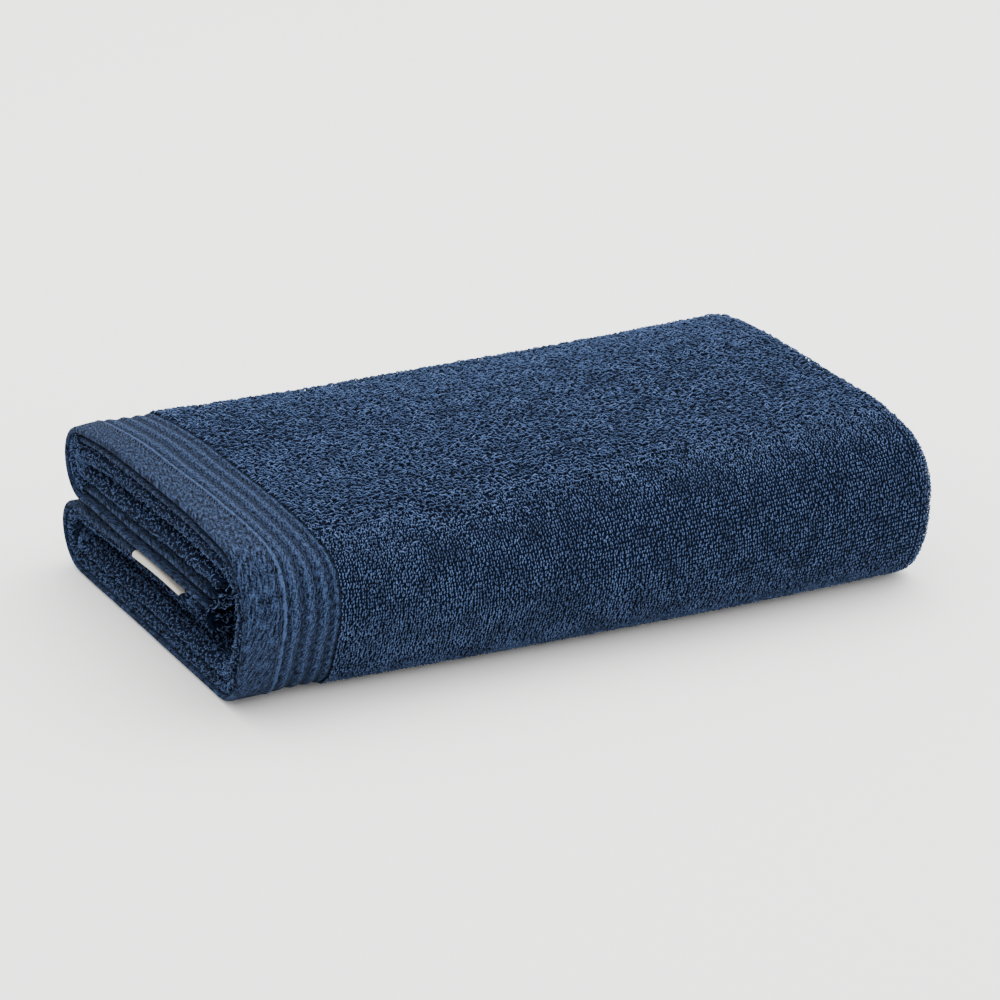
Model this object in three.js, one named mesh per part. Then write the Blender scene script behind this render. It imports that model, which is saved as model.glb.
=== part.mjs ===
import * as THREE from "three";

// Bath sheet of terry cloth, folded and lying on a surface. Millimetres, +Z up.
// X runs along the folded length: the two woven hems lie at the -X end, the folded end at +X.
// The big round front fold faces -Y, the two smaller back folds face +Y.
//
// The cloth is first folded in half twice along its length, which gives four plies:
// ply 1 (outermost) ends in a hem, ply 2 ends in the other hem, plies 3 and 4 are joined at -X.
// Both long sides of the four plies are then turned in to the middle and the whole is folded once more.

// Driving sizes of the folded sheet
const foldedLength = 385;
const terryThickness = 4.6;
const plyPitch = 5.3;
const plyCount = 4;
const flapTipSlant = 0.5;

// Driving sizes of the woven ends
const hemWidth = 19;
const hemThickness = 3;
const rimRoundness = 0.94;
const ribWidths = [8.6, 7.7, 7.4, 4.8];
const ribThickness = 3;
const grooveThickness = 1.4;
const ribSink = 0.2;
const terryStep = 2.5;
const pileFoldSetback = 3;
const skewFade = 60;

// Driving sizes of the woven label: a ribbon that lies flat on the lower flap's hem, beside its tip,
// and bends down over the rim, by fewer degrees at the flap's tip than at the label's other end
const label = {
  length: 57,
  flat: 20,
  bendAtTip: 60,
  bendAtFarEnd: 118,
  thickness: 0.7,
  clearance: 0.5,
};

// Outer face of the folded stack, from the back edge of the underside forward, round the front and
// back over the top. Each row is an arc or a straight stretch of it, with its length in mm and its
// turn in degrees at four places along X, counted in mm from the hem end. Steps are the solid's.
const places = { hemEnd: 0, terryEdge: 50, middle: 212, foldEnd: foldedLength };
const backEdge = { hemEnd: 99, terryEdge: 98, middle: 97, foldEnd: 96 };
const faceRows = [
  { name: "underside back", steps: 2, hemEnd: [98, 0], terryEdge: [98, 0], middle: [98, 0], foldEnd: [97, 0] },
  { name: "underside front", steps: 2, hemEnd: [85, 0], terryEdge: [82, 0], middle: [87, 0], foldEnd: [87, 0] },
  { name: "lower bend", steps: 3, hemEnd: [24, 59], terryEdge: [25, 65], middle: [22, 53], foldEnd: [24, 58] },
  { name: "front face", steps: 2, hemEnd: [33, 12], terryEdge: [27, 1], middle: [32, 25], foldEnd: [42, 33] },
  { name: "upper bend", steps: 4, hemEnd: [61, 105], terryEdge: [42, 92], middle: [47, 81], foldEnd: [48, 81] },
  { name: "shoulder", steps: 3, hemEnd: [51, 4], terryEdge: [48, 18], middle: [50, 18], foldEnd: [41, 9] },
  { name: "top front", steps: 2, hemEnd: [76, 1], terryEdge: [68, 2], middle: [82, 5], foldEnd: [88, -2] },
  { name: "top back", steps: 2, hemEnd: [58, 9], terryEdge: [82, 12], middle: [64, 8], foldEnd: [57, 10] },
];

// What changes along that face, at the ends of its rows. Press is the share of the loose thickness
// that is left. Hem and fold are how far the hem edges and the folded end are set back, second is how
// much further the second hem is, and skew is how much further in the seam and the ribs run, in mm.
const faceEnds = [
  { at: "start", press: 0.955, hem: 1.3, second: 6, fold: 0, skew: 0 },
  { at: "underside back", press: 1.01, hem: 2.4, second: 6, fold: 1, skew: 1 },
  { at: "underside front", press: 0.93, hem: 3, second: 6, fold: 1.5, skew: 2.5 },
  { at: "lower bend", press: 0.9, hem: 2, second: 4, fold: 2, skew: 3 },
  { at: "front face", press: 0.9, hem: 1.5, second: 1, fold: 2.5, skew: 3 },
  { at: "upper bend", press: 0.92, hem: 2, second: 0, fold: 2, skew: 5.3 },
  { at: "shoulder", press: 0.97, hem: 3, second: 0, fold: 1, skew: 1 },
  { at: "top front", press: 1.03, hem: 3, second: 0.5, fold: 0, skew: -1.8 },
  { at: "top back", press: 0.97, hem: 1.8, second: 4, fold: 0, skew: -3 },
];

// The two turned-in sides. Each ply is set back at the hem end, and the hems and the inner plies sag
// there: the first of two numbers is where the flap leaves its back fold, the second at its tip.
const flaps = {
  upper: {
    length: 168,
    firstHem: [2, 1.5],
    secondHem: [8, 6],
    innerFold: [4.5, 4.5],
    hemDrop: [1.2, 2.8],
    innerDrop: [2, 2],
  },
  lower: {
    length: 136,
    firstHem: [0, 0.5],
    secondHem: [7, 9],
    innerFold: [10, 10],
    hemDrop: [0.8, -0.8],
    innerDrop: [0, 0],
  },
};
const dropFade = 30;
const lobeSteps = 6;
const flapSteps = 4;
const terrySteps = 6;

// Shallow waves in the outer plies: their height, and the distances over which one turns by a radian
const wave = { height: 0.5, alongLength: 31, alongFace: 44, fade: 40 };

// Values worked out from the driving sizes
const hemEndX = -foldedLength / 2;
const foldEndX = foldedLength / 2;
const stackThickness = (plyCount - 1) * plyPitch + terryThickness;
const lobeDepth = 2 * stackThickness + (plyPitch - terryThickness);
const ribEdges = ribWidths.reduce((edges, width) => [...edges, edges.at(-1) + width], [hemWidth]);
const borderWidth = ribEdges.at(-1);
const outerTurnRadius = (plyDepth(4) - plyDepth(1)) / 2;
const outerTurnX = foldEndX - outerTurnRadius - terryThickness / 2;
const terryStart = hemEndX + borderWidth + terryStep;
const borderStations = [hemEndX + hemWidth, hemEndX + (hemWidth + borderWidth) / 2, terryStart];
const frontRow = faceRows.findIndex((row) => row.name === "lower bend");
const innerFoldX = hemEndX + pileFoldSetback + plyPitch / 2 + terryThickness / 2;
const secondPlyTop = plyPitch - (plyPitch - terryThickness) / 2;
const thirdPlyTop = secondPlyTop + plyPitch;

function plyDepth(ply) {
  return terryThickness / 2 + (ply - 1) * plyPitch;
}

function mix(a, b, t) {
  return a + (b - a) * t;
}

function ease(t) {
  const s = Math.min(1, Math.max(0, t));
  return s * s * (3 - 2 * s);
}

// Half the thickness of the cloth at a distance from its hem edge: rolled rim, hem, ribs, terry
function halfThickness(fromHem) {
  if (fromHem < hemWidth) {
    const intoRim = Math.max(0, 1 - fromHem / (hemThickness / 2));
    return (hemThickness / 2) * Math.sqrt(1 - rimRoundness * intoRim ** 2);
  }
  if (fromHem < borderWidth) {
    const rib = ribWidths.findIndex((width, i) => fromHem < ribEdges[i + 1]);
    const intoRib = (fromHem - ribEdges[rib]) / ribWidths[rib];
    const swell = (1 - Math.cos(2 * Math.PI * intoRib)) / 2;
    return mix(grooveThickness, ribThickness, swell) / 2;
  }
  const intoTerry = fromHem - borderWidth;
  return mix(grooveThickness, terryThickness, ease(intoTerry / terryStep)) / 2;
}

// The thin ribbed border sinks a little below the hem and the terry on either side
function sinkAt(fromHem) {
  const afterHem = ease((fromHem - hemWidth + 1) / ribWidths[0]);
  const beforeTerry = 1 - ease((fromHem - borderWidth) / terryStep);
  return ribSink * afterHem * beforeTerry;
}

// Distances from the hem edge at which the solid has a row of points
function hemStations(withRibs) {
  const stations = [0, hemThickness / 8, hemThickness / 2, hemWidth - 1];
  if (withRibs) {
    ribWidths.forEach((width, i) => stations.push(ribEdges[i], ribEdges[i] + width / 2));
  } else {
    stations.push(hemWidth + ribWidths[0] / 2);
  }
  stations.push(borderWidth, borderWidth + terryStep);
  return stations;
}

// Places along the terry at which every ply has a point, so that the plies stay clear of each other
function terryStations() {
  const stations = [];
  for (let i = 1; i < terrySteps; i += 1) {
    stations.push(mix(terryStart, outerTurnX, i / terrySteps));
  }
  return stations;
}

// The four plies as one line in the plane of length (x) and depth below the outer face.
// Each point carries half the cloth's thickness there.
function lengthwiseLine() {
  const line = [];
  const terryHalf = terryThickness / 2;
  const add = (x, depth, half) => line.push({ x, depth, half });
  const run = (stations, ply) => stations.forEach((x) => add(x, plyDepth(ply), terryHalf));
  const turn = (x, fromPly, toPly, side, steps) => {
    const middle = (plyDepth(fromPly) + plyDepth(toPly)) / 2;
    const reach = (plyDepth(toPly) - plyDepth(fromPly)) / 2;
    for (let i = 0; i <= steps; i += 1) {
      const angle = (Math.PI * i) / steps;
      add(x + side * Math.abs(reach) * Math.sin(angle), middle - reach * Math.cos(angle), terryHalf);
    }
  };

  for (const fromHem of hemStations(true)) {
    add(hemEndX + fromHem, plyDepth(1) + sinkAt(fromHem), halfThickness(fromHem));
  }
  const terryRun = terryStations();
  const innerRun = [...borderStations, ...terryRun];
  run(terryRun, 1);
  turn(outerTurnX, 1, 4, 1, 6);
  run(innerRun.toReversed(), 4);
  turn(innerFoldX, 4, 3, -1, 4);
  run(innerRun, 3);
  turn(outerTurnX, 3, 2, 1, 4);
  run(terryRun.toReversed(), 2);
  for (const fromHem of hemStations(false).reverse()) {
    add(hemEndX + fromHem, plyDepth(2), halfThickness(fromHem));
  }
  return line;
}

// Both faces of that line: the points half a thickness to either side of it
function lengthwiseFaces() {
  const line = lengthwiseLine();
  return line.map((point, i) => {
    const before = line[Math.max(0, i - 1)];
    const after = line[Math.min(line.length - 1, i + 1)];
    const dx = after.x - before.x;
    const dd = after.depth - before.depth;
    const size = Math.hypot(dx, dd);
    const sideX = (dd / size) * point.half;
    const sideDepth = (dx / size) * point.half;
    return {
      near: { x: point.x + sideX, depth: point.depth - sideDepth },
      far: { x: point.x - sideX, depth: point.depth + sideDepth },
    };
  });
}

// A value given at the four places, at a distance from the hem end: a smooth curve through all four
function along(values, distance) {
  const at = Object.values(places);
  let i = 0;
  while (i + 2 < at.length && at[i + 1] < distance) {
    i += 1;
  }
  const span = at[i + 1] - at[i];
  const t = (distance - at[i]) / span;
  const rise = (k) => {
    const low = Math.max(0, k - 1);
    const high = Math.min(at.length - 1, k + 1);
    return ((values[high] - values[low]) / (at[high] - at[low])) * span;
  };
  const start = values[i] + rise(i) * t;
  const end = values[i + 1] - rise(i + 1) * (1 - t);
  return mix(start, end, ease(t));
}

// The section's arcs at a place along the length, each with its start point and heading
function sectionAt(x) {
  const distance = x - hemEndX;
  const names = Object.keys(places);
  let y = along(names.map((name) => backEdge[name]), distance);
  let z = 0;
  let heading = 0;
  let at = 0;
  return faceRows.map((row) => {
    const length = along(names.map((name) => row[name][0]), distance);
    const degrees = along(names.map((name) => row[name][1]), distance);
    const arc = { y, z, heading, at, length, turn: THREE.MathUtils.degToRad(degrees) };
    const end = alongArc(arc, length);
    y = end.y;
    z = end.z;
    heading = end.heading;
    at += length;
    return arc;
  });
}

function alongArc(arc, distance) {
  const bend = arc.turn / arc.length;
  const heading = arc.heading + bend * distance;
  if (Math.abs(bend) < 1e-6) {
    const y = arc.y - distance * Math.cos(arc.heading);
    const z = arc.z + distance * Math.sin(arc.heading);
    return { y, z, heading };
  }
  return {
    y: arc.y - (Math.sin(heading) - Math.sin(arc.heading)) / bend,
    z: arc.z + (Math.cos(arc.heading) - Math.cos(heading)) / bend,
    heading,
  };
}

// A point of the outer face, with its directions and what changes along the face
function faceAt(section, distance) {
  let index = section.length - 1;
  while (index > 0 && section[index].at > distance) {
    index -= 1;
  }
  const arc = section[index];
  const point = alongArc(arc, distance - arc.at);
  const share = ease((distance - arc.at) / arc.length);
  const before = faceEnds[index];
  const after = faceEnds[index + 1];
  return {
    y: point.y,
    z: point.z,
    heading: { y: -Math.cos(point.heading), z: Math.sin(point.heading) },
    inward: { y: Math.sin(point.heading), z: Math.cos(point.heading) },
    press: mix(before.press, after.press, share),
    hem: mix(before.hem, after.hem, share),
    second: mix(before.second, after.second, share),
    fold: mix(before.fold, after.fold, share),
    skew: mix(before.skew, after.skew, share),
  };
}

// The stations across the cloth, from the lower flap's tip, round its lobe, along the outer face,
// round the upper lobe and along the upper flap to its tip
function crosswiseStations() {
  const stations = [];
  for (let i = 0; i < flapSteps; i += 1) {
    stations.push({ zone: "flap", side: "lower", share: 1 - i / flapSteps });
  }
  for (let i = 0; i < lobeSteps; i += 1) {
    stations.push({ zone: "lobe", side: "lower", share: 1 - i / lobeSteps });
  }
  faceRows.forEach((row, index) => {
    for (let i = 0; i < row.steps; i += 1) {
      stations.push({ zone: "face", row: index, share: i / row.steps });
    }
  });
  for (let i = 0; i < lobeSteps; i += 1) {
    stations.push({ zone: "lobe", side: "upper", share: i / lobeSteps });
  }
  for (let i = 0; i <= flapSteps; i += 1) {
    stations.push({ zone: "flap", side: "upper", share: i / flapSteps });
  }
  return stations;
}

// One of a flap's values, at a share of the way to its tip
function flapValue(side, name, share) {
  const [start, tip] = flaps[side][name];
  return mix(start, tip, ease(share));
}

// How far a ply is set back at the hem end on one of the flaps
function flapSetback(side, depth, share) {
  if (depth < secondPlyTop) {
    return flapValue(side, "firstHem", share);
  }
  return flapValue(side, depth < thirdPlyTop ? "secondHem" : "innerFold", share);
}

// How far a ply of a flap sags near the hem end, where the border is thinner than the terry
function flapDrop(side, x, depth, share) {
  const sag = flapValue(side, depth < thirdPlyTop ? "hemDrop" : "innerDrop", share);
  const nearHem = 1 - ease((x - hemEndX - hemWidth) / (borderWidth - hemWidth));
  return sag * nearHem * ease((share * flaps[side].length) / dropFade);
}

// The share of the skew at a place: none at the rim, all of it from the seam to the last rib
function skewShare(x) {
  const fromHem = x - hemEndX;
  return ease(fromHem / hemWidth) * (1 - ease((fromHem - borderWidth) / skewFade));
}

// How far a ply is set back at the hem end on the outer face
function faceSetback(face, depth) {
  const isSecond = depth > secondPlyTop && depth < thirdPlyTop;
  return face.hem + (isSecond ? face.second : 0);
}

// Outward rise of the waves: none on the underside, at the back edges and in the innermost ply
function waveAt(x, distance, depth, section) {
  const frontStart = section[frontRow].at;
  const backEnd = section[section.length - 1].at + section[section.length - 1].length;
  const fromEnds = Math.min(distance - frontStart, backEnd - distance);
  const phase = x / wave.alongLength + distance / wave.alongFace;
  return wave.height * Math.sin(phase) * ease(fromEnds / wave.fade) * (1 - depth / stackThickness);
}

// Places a point given by its length, its station across the cloth and its depth in the stack
function place(x, station, depth) {
  const section = sectionAt(x);
  const last = section[section.length - 1];
  const total = last.at + last.length;
  const { zone, side, share } = station;
  const isLower = side === "lower";
  let face;
  let inwardShare;
  let headingShare = 0;
  let hem;

  if (zone === "face") {
    const arc = section[station.row];
    const distance = arc.at + share * arc.length;
    face = faceAt(section, distance);
    inwardShare = depth * face.press - waveAt(x, distance, depth, section);
    hem = faceSetback(face, depth);
  } else if (zone === "lobe") {
    face = faceAt(section, isLower ? 0 : total);
    const angle = Math.PI * share;
    const radius = (lobeDepth / 2 - depth) * face.press;
    inwardShare = (lobeDepth / 2) * face.press - radius * Math.cos(angle);
    headingShare = (isLower ? -1 : 1) * radius * Math.sin(angle);
    hem = mix(faceSetback(face, depth), flapSetback(side, depth, 0), ease(share));
  } else {
    const reach = share * (flaps[side].length + flapTipSlant * depth);
    face = faceAt(section, isLower ? reach : total - reach);
    const drop = flapDrop(side, x, depth, share);
    inwardShare = (lobeDepth - depth) * face.press + (isLower ? -drop : drop);
    hem = flapSetback(side, depth, share);
  }
  const nearHems = 1 - ease((x - hemEndX) / foldEndX);
  const nearFold = ease(x / foldEndX);
  return new THREE.Vector3(
    x + hem * nearHems + face.skew * skewShare(x) - face.fold * nearFold,
    face.y + face.inward.y * inwardShare + face.heading.y * headingShare,
    face.z + face.inward.z * inwardShare + face.heading.z * headingShare,
  );
}

// Joins both faces of the folded cloth into one closed solid
function bathSheetGeometry() {
  const faces = lengthwiseFaces();
  const stations = crosswiseStations();
  const ring = faces.map((face) => face.near).concat(faces.map((face) => face.far).reverse());
  const points = [];
  for (const station of stations) {
    for (const corner of ring) {
      points.push(place(corner.x, station, corner.depth));
    }
  }
  const triangles = [];
  const size = ring.length;
  for (let row = 0; row + 1 < stations.length; row += 1) {
    for (let i = 0; i < size; i += 1) {
      const next = (i + 1) % size;
      const corners = [row * size + i, row * size + next, (row + 1) * size + next, (row + 1) * size + i];
      const goesBack = ring[next].x < ring[i].x;
      addQuad(triangles, ...(goesBack ? [...corners.slice(1), corners[0]] : corners));
    }
  }
  const lastRow = (stations.length - 1) * size;
  for (let i = 0; i + 1 < faces.length; i += 1) {
    const opposite = size - 1 - i;
    addQuad(triangles, i, opposite, opposite - 1, i + 1);
    addQuad(triangles, lastRow + i, lastRow + i + 1, lastRow + opposite - 1, lastRow + opposite);
  }
  return solidGeometry(points, triangles);
}

// The label's outline seen from the flap's tip, as x and rise from the middle of the hem's rim:
// along one side of the ribbon to its lower end, and back along the other side
function labelOutline(degrees) {
  const bendSteps = 6;
  const side = (radius) => {
    const points = [[label.flat, radius]];
    for (let i = 0; i <= bendSteps; i += 1) {
      const angle = THREE.MathUtils.degToRad((degrees * i) / bendSteps);
      points.push([hemThickness / 2 - radius * Math.sin(angle), radius * Math.cos(angle)]);
    }
    return points;
  };
  const innerRadius = hemThickness / 2 + label.clearance;
  return [...side(innerRadius), ...side(innerRadius + label.thickness).reverse()];
}

// The label lies between the two flaps, from the lower one's tip, and covers the rim there
function labelGeometry() {
  const steps = 5;
  const points = [];
  for (let i = 0; i <= steps; i += 1) {
    const share = 1 - (label.length * i) / steps / flaps.lower.length;
    const seat = place(hemEndX, { zone: "flap", side: "lower", share }, terryThickness / 2);
    for (const [x, rise] of labelOutline(mix(label.bendAtTip, label.bendAtFarEnd, i / steps))) {
      points.push(new THREE.Vector3(seat.x + x, seat.y, seat.z + rise));
    }
  }
  const size = points.length / (steps + 1);
  const triangles = [];
  for (let i = 0; i < steps; i += 1) {
    for (let corner = 0; corner < size; corner += 1) {
      const next = (corner + 1) % size;
      addQuad(triangles, i * size + corner, i * size + next, (i + 1) * size + next, (i + 1) * size + corner);
    }
  }
  const end = size * steps;
  for (let i = 0; i + 1 < size / 2; i += 1) {
    const opposite = size - 1 - i;
    addQuad(triangles, i, opposite, opposite - 1, i + 1);
    addQuad(triangles, end + i, end + i + 1, end + opposite - 1, end + opposite);
  }
  return solidGeometry(points, triangles);
}

function addQuad(triangles, a, b, c, d) {
  triangles.push(a, b, c, a, c, d);
}

function solidGeometry(points, triangles) {
  const geometry = new THREE.BufferGeometry().setFromPoints(points);
  geometry.setIndex(triangles);
  geometry.computeVertexNormals();
  return geometry;
}

const terryMaterial = new THREE.MeshStandardMaterial({ color: "#2b3d58", roughness: 0.95, metalness: 0 });
const labelMaterial = new THREE.MeshStandardMaterial({ color: "#d8d3c8", roughness: 0.8, metalness: 0 });

const bathSheet = new THREE.Mesh(bathSheetGeometry(), terryMaterial);
bathSheet.name = "terry_sheet";

const wovenLabel = new THREE.Mesh(labelGeometry(), labelMaterial);
wovenLabel.name = "woven_label";

// The origin is in the middle of the whole, on the surface it lies on
const group = new THREE.Group();
group.add(bathSheet, wovenLabel);
const middle = new THREE.Box3().setFromObject(group).getCenter(new THREE.Vector3());
for (const piece of [bathSheet, wovenLabel]) {
  piece.geometry.translate(-middle.x, -middle.y, 0);
}

export default group;
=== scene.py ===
"""Folded bath sheet of navy terry cloth, lying on a pale floor."""
import itertools
import math

import bpy
import numpy as np
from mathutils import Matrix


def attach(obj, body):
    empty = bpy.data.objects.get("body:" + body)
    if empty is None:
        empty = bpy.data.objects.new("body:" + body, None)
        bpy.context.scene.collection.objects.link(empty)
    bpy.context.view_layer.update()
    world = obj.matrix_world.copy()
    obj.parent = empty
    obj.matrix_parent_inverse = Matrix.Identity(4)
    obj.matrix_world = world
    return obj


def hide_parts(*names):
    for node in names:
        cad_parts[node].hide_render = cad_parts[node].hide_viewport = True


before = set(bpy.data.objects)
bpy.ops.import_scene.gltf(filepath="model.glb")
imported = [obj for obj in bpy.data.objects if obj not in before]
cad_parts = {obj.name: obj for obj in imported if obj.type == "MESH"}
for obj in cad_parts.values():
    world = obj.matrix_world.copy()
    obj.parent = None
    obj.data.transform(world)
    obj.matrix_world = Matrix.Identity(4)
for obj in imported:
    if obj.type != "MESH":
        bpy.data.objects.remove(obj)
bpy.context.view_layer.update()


# Studio floor
# A pale seamless sheet of matt card under the folded cloth, much larger than what the camera sees,
# so that it reads as one even white with only a soft shadow round the cloth.
FLOOR_SIZE = 12.0
FLOOR_COLOUR = "#faf9f7"


def linear(hex_colour):
    """A hex colour as linear red, green, blue and alpha."""
    channels = [int(hex_colour[i:i + 2], 16) / 255 for i in (1, 3, 5)]
    return [c / 12.92 if c <= 0.04045 else ((c + 0.055) / 1.055) ** 2.4 for c in channels] + [1.0]


def add(tree, kind, inputs=None, **settings):
    """Adds a node with its settings. An input's value is a number, a socket to link, or a node whose
    first output is linked."""
    node = tree.nodes.new(kind)
    for name, value in settings.items():
        setattr(node, name, value)
    for key, value in (inputs or {}).items():
        if isinstance(value, bpy.types.Node):
            value = value.outputs[0]
        if isinstance(value, bpy.types.NodeSocket):
            tree.links.new(value, node.inputs[key])
        else:
            node.inputs[key].default_value = value
    return node


def new_material(name):
    """A material with an empty node tree."""
    material = bpy.data.materials.new(name)
    material.use_nodes = True
    material.node_tree.nodes.clear()
    return material


def mix_colours(tree, factor, colours):
    """The colour at a factor between two hex colours."""
    mixed = add(tree, "ShaderNodeMix", {
        "Factor": factor, 6: linear(colours[0]), 7: linear(colours[1])}, data_type="RGBA")
    return mixed.outputs[2]


def pattern(tree, size, detail=2.0):
    """A cloudy pattern over the object, in patches of about a size in metres."""
    place_on_object = add(tree, "ShaderNodeTexCoord").outputs["Object"]
    noise = add(tree, "ShaderNodeTexNoise", {
        "Vector": place_on_object, "Scale": 1 / size, "Detail": detail})
    return noise.outputs["Fac"]


def relief(tree, height, strength, distance):
    """A bump of a height in metres."""
    return add(tree, "ShaderNodeBump", {"Height": height, "Strength": strength, "Distance": distance})


def finish_material(tree, inputs):
    """Ends a material's tree with its surface."""
    shader = add(tree, "ShaderNodeBsdfPrincipled", inputs)
    add(tree, "ShaderNodeOutputMaterial", {"Surface": shader})


def new_object(name, data):
    """An object with its data, linked to the scene."""
    made = bpy.data.objects.new(name, data)
    bpy.context.scene.collection.objects.link(made)
    return made


def mesh_object(name, points, faces):
    """An object made of points in metres and faces, linked to the scene."""
    mesh = bpy.data.meshes.new(name)
    mesh.from_pydata([tuple(p) for p in points], [], faces)
    mesh.update()
    mesh.polygons.foreach_set("use_smooth", [True] * len(mesh.polygons))
    return new_object(name, mesh)


half_floor = FLOOR_SIZE / 2
floor_corners = [
    (-half_floor, -half_floor, 0), (half_floor, -half_floor, 0),
    (half_floor, half_floor, 0), (-half_floor, half_floor, 0)]
floor = mesh_object("floor", floor_corners, [(0, 1, 2, 3)])
card = new_material("matt white card")
finish_material(card.node_tree, {
    "Base Color": linear(FLOOR_COLOUR), "Roughness": 0.9, "Specular IOR Level": 0.1})
floor.data.materials.append(card)


# Studio light
# A soft surround, brighter behind the folded end than in front of the hems, and one large soft panel
# overhead: the top is brighter than the front, and the hem end lies in shade.
SURROUND_DARKEST = 1.5
SURROUND_BRIGHTEST = 3.7
SURROUND_TOWARD = (0.85, 0.53, 0.0)
PANEL_SIZE = 2.2
PANEL_POWER = 38.0
PANEL_PLACE = (0.45, 0.3, 1.6)

world = bpy.data.worlds.new("studio surround")
world.use_nodes = True
tree = world.node_tree
surround = tree.nodes["Background"]
direction = add(tree, "ShaderNodeTexCoord")
toward_light = add(tree, "ShaderNodeVectorMath", {
    0: direction.outputs["Generated"], 1: SURROUND_TOWARD}, operation="DOT_PRODUCT")
strength = add(tree, "ShaderNodeMapRange", {
    "Value": toward_light.outputs["Value"], "From Min": -1.0, "From Max": 1.0, "To Min": SURROUND_DARKEST,
    "To Max": SURROUND_BRIGHTEST})
surround.inputs["Color"].default_value = linear("#ffffff")
tree.links.new(strength.outputs[0], surround.inputs["Strength"])
bpy.context.scene.world = world

panel = bpy.data.lights.new("overhead panel", "AREA")
panel.shape = "SQUARE"
panel.size = PANEL_SIZE
panel.energy = PANEL_POWER
panel_object = new_object("overhead_panel", panel)
panel_object.location = PANEL_PLACE
toward = -np.array(PANEL_PLACE)
panel_object.rotation_euler = (
    math.atan2(math.hypot(toward[0], toward[1]), -toward[2]), 0,
    math.atan2(toward[1], toward[0]) - math.pi / 2)


# Camera
# A long lens from in front and from the hem end's side, looking down a little: the hems, the top and
# the big front fold all show.
CAMERA_TURN = 27.0
CAMERA_RISE = 21.9
CAMERA_DISTANCE = 2.156
CAMERA_TARGET = (0.0078, 0.0134, 0.0353)
CAMERA_LENS = 151.2

turn, rise = math.radians(CAMERA_TURN), math.radians(CAMERA_RISE)
ahead = np.array([math.sin(turn) * math.cos(rise), math.cos(turn) * math.cos(rise), -math.sin(rise)])
camera_data = bpy.data.cameras.new("camera")
camera_data.lens = CAMERA_LENS
camera_data.sensor_width = 36.0
camera_data.clip_end = 50.0
camera = new_object("camera", camera_data)
camera.location = np.array(CAMERA_TARGET) - ahead * CAMERA_DISTANCE
camera.rotation_euler = (math.pi / 2 - rise, 0, -turn)
bpy.context.scene.camera = camera


# Terry cloth
# One length of cotton cloth, woven with pile on both faces, with a hem and four broad ribs
# at each end. It is folded in half twice along its length, its two long sides are turned in
# to the middle, and it is folded once more. Sizes are in millimetres until the points are made.
FOLDED_LENGTH = 385.0
TERRY_THICKNESS = 4.6
PLY_PITCH = 5.3
PLY_COUNT = 4
FLAP_TIP_SLANT = 0.5
PILE_SHARE = 1.6

HEM_WIDTH = 19.0
HEM_THICKNESS = 3.0
STITCH_ROW = 15.6
STITCH_DENT = 0.5
STITCH_WIDTH = 0.6
SEAM_RIDGE = {"place": 17.4, "height": 0.4, "width": 0.9}
RIM_ROLL = 0.94
RIB_WIDTHS = np.array([8.6, 7.7, 7.4, 4.8])
RIB_THICKNESS = 3.0
GROOVE_THICKNESS = 1.2
RIB_SINK = 0.2
RIB_SINK_START = 1.0
TERRY_STEP = 2.5
PILE_FOLD_SETBACK = 1.0
SKEW_FADE = 60.0
HIDDEN_GAP = 0.1

# Distances between rows of points on the plain terry, and how far they keep from the border and folds
PLAIN_STEPS = {"outer ply": 9.0, "inner border": 10.0}
PLAIN_GAPS = {"border": 6.0, "turn": 4.0, "inner fold": 5.0}

# How much lighter each part of the woven end is drawn: partly real wear and partly painted light, with
# painted highlight on the seam ridge and rib ridges and painted shade in the stitch dent and the grooves
WEAR_AND_PAINTED_LIGHT = {"hem": 0.5, "seam ridge": 0.5, "stitch dent": -0.4, "groove": 0.2, "rib": 0.55}

# Outer face of the folded stack, forward along the underside, round the front and back over the top.
# Each row has its length and its turn in degrees at four places along X, counted from the hem end.
PLACES = np.array([0.0, 50.0, 212.0, FOLDED_LENGTH])
BACK_EDGE = (99, 98, 97, 96)
FACE_ROWS = {
    "underside back": {"lengths": (98, 98, 98, 97), "turns": (0, 0, 0, 0), "step": 12},
    "underside front": {"lengths": (77, 76, 82, 83), "turns": (0, 0, 0, 0), "step": 12},
    "lower bend": {"lengths": (34, 33, 28, 30), "turns": (59, 65, 53, 58), "step": 3.4},
    "front face": {"lengths": (28, 23, 29, 39), "turns": (12, 1, 25, 33), "step": 4},
    "upper bend": {"lengths": (61, 42, 47, 48), "turns": (105, 92, 81, 81), "step": 3},
    "shoulder": {"lengths": (51, 48, 50, 41), "turns": (4, 18, 18, 9), "step": 6},
    "top front": {"lengths": (76, 68, 82, 88), "turns": (1, 2, 5, -2), "step": 10},
    "top back": {"lengths": (58, 82, 64, 57), "turns": (9, 12, 8, 10), "step": 7},
}
ROW_NAMES = list(FACE_ROWS)

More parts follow.
